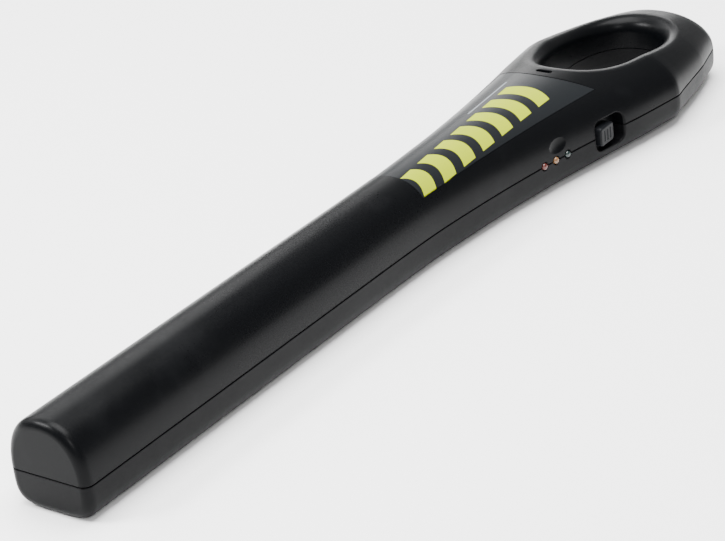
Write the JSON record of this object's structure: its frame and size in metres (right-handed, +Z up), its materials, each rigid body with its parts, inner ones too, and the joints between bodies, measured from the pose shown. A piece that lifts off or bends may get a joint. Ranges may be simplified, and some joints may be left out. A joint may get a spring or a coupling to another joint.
{
  "type": "handheld wand metal detector",
  "caption": "Hand-held wand metal detector: straight search barrel flaring into a hollow loop handle, with lamps and a slide switch on its side.",
  "frame": {"origin": "centre of the length and width, on the plane that the underside rests on", "axes": "+X along the wand from the search tip to the handle end, -Y towards the side with the lamps and the slide switch, +Z up through the label"},
  "size_m": [0.42, 0.079, 0.035],
  "materials": {
    "shell_black": "satin moulded ABS, charcoal black, very fine texture",
    "lower_black": "satin moulded ABS, charcoal black, slightly lighter than the upper shell",
    "label_slate": "printed polycarbonate overlay, slate grey with a lime graphic",
    "control_black": "moulded black, fine texture",
    "steel": "zinc-plated steel",
    "copper": "enamelled copper wire",
    "former_white": "natural moulded nylon",
    "foam_grey": "open-cell foam, dark grey",
    "board_green": "glass-epoxy circuit board, green mask",
    "chip_black": "moulded epoxy and black plastic",
    "lamp_red": "clear tinted red",
    "lamp_amber": "clear tinted amber",
    "lamp_green": "clear tinted green, unlit",
    "battery_case": "printed steel jacket, dark slate",
    "lead_red": "red insulation",
    "lead_black": "black insulation"
  },
  "bodies": {
    "body": {"top_shell": "shell_black", "bottom_shell": "lower_black", "label_plate": "label_slate", "screw_1": "steel", "screw_2": "steel", "screw_3": "steel", "screw_4": "steel", "screw_5": "steel", "screw_6": "steel", "screw_7": "steel", "coil_former": "former_white", "transmit_winding": "copper", "receive_winding_front": "copper", "receive_winding_rear": "copper", "foam_pad_upper_front": "foam_grey", "foam_pad_upper_rear": "foam_grey", "foam_pad_lower_front": "foam_grey", "foam_pad_lower_rear": "foam_grey", "main_board": "board_green", "control_chip": "chip_black", "driver_chip": "chip_black", "driver_inductor": "copper", "capacitor_1": "chip_black", "capacitor_2": "chip_black", "coil_connector": "former_white", "speaker": "chip_black", "speaker_gasket": "foam_grey", "switch_body": "chip_black", "tact_switch": "chip_black", "jack_socket": "chip_black", "led_red": "lamp_red", "led_amber": "lamp_amber", "led_green": "lamp_green", "battery_9v": "battery_case", "battery_snap": "chip_black", "battery_foam": "foam_grey", "vibration_motor": "steel", "motor_clip": "chip_black", "coil_lead": "lead_black", "battery_lead_red": "lead_red", "battery_lead_black": "lead_black", "speaker_lead": "lead_red", "motor_lead": "lead_black"},
    "battery_door": {"battery_door": "lower_black"},
    "mode_slider": {"mode_slider": "control_black"},
    "push_button": {"push_button": "control_black"},
    "eccentric_weight": {"eccentric_weight": "steel"}
  },
  "joints": [
    {"name": "mode_slide", "type": "slide", "parent": "body", "child": "mode_slider", "axis": [1, 0, 0], "range_m": [0, 0.0046]},
    {"name": "button_press", "type": "slide", "parent": "body", "child": "push_button", "axis": [0, -1, 0], "range_m": [0, 0.0012], "stiffness_N_per_m": 900},
    {"name": "door_hinge", "type": "hinge", "parent": "body", "child": "battery_door", "pos_m": [0.0162, 0, 0.0019], "axis": [0, 1, 0], "range_deg": [0, 95]},
    {"name": "weight_spin", "type": "hinge", "parent": "body", "child": "eccentric_weight", "pos_m": [0.198, 0, 0.01], "axis": [0, 1, 0], "continuous": true}
  ]
}
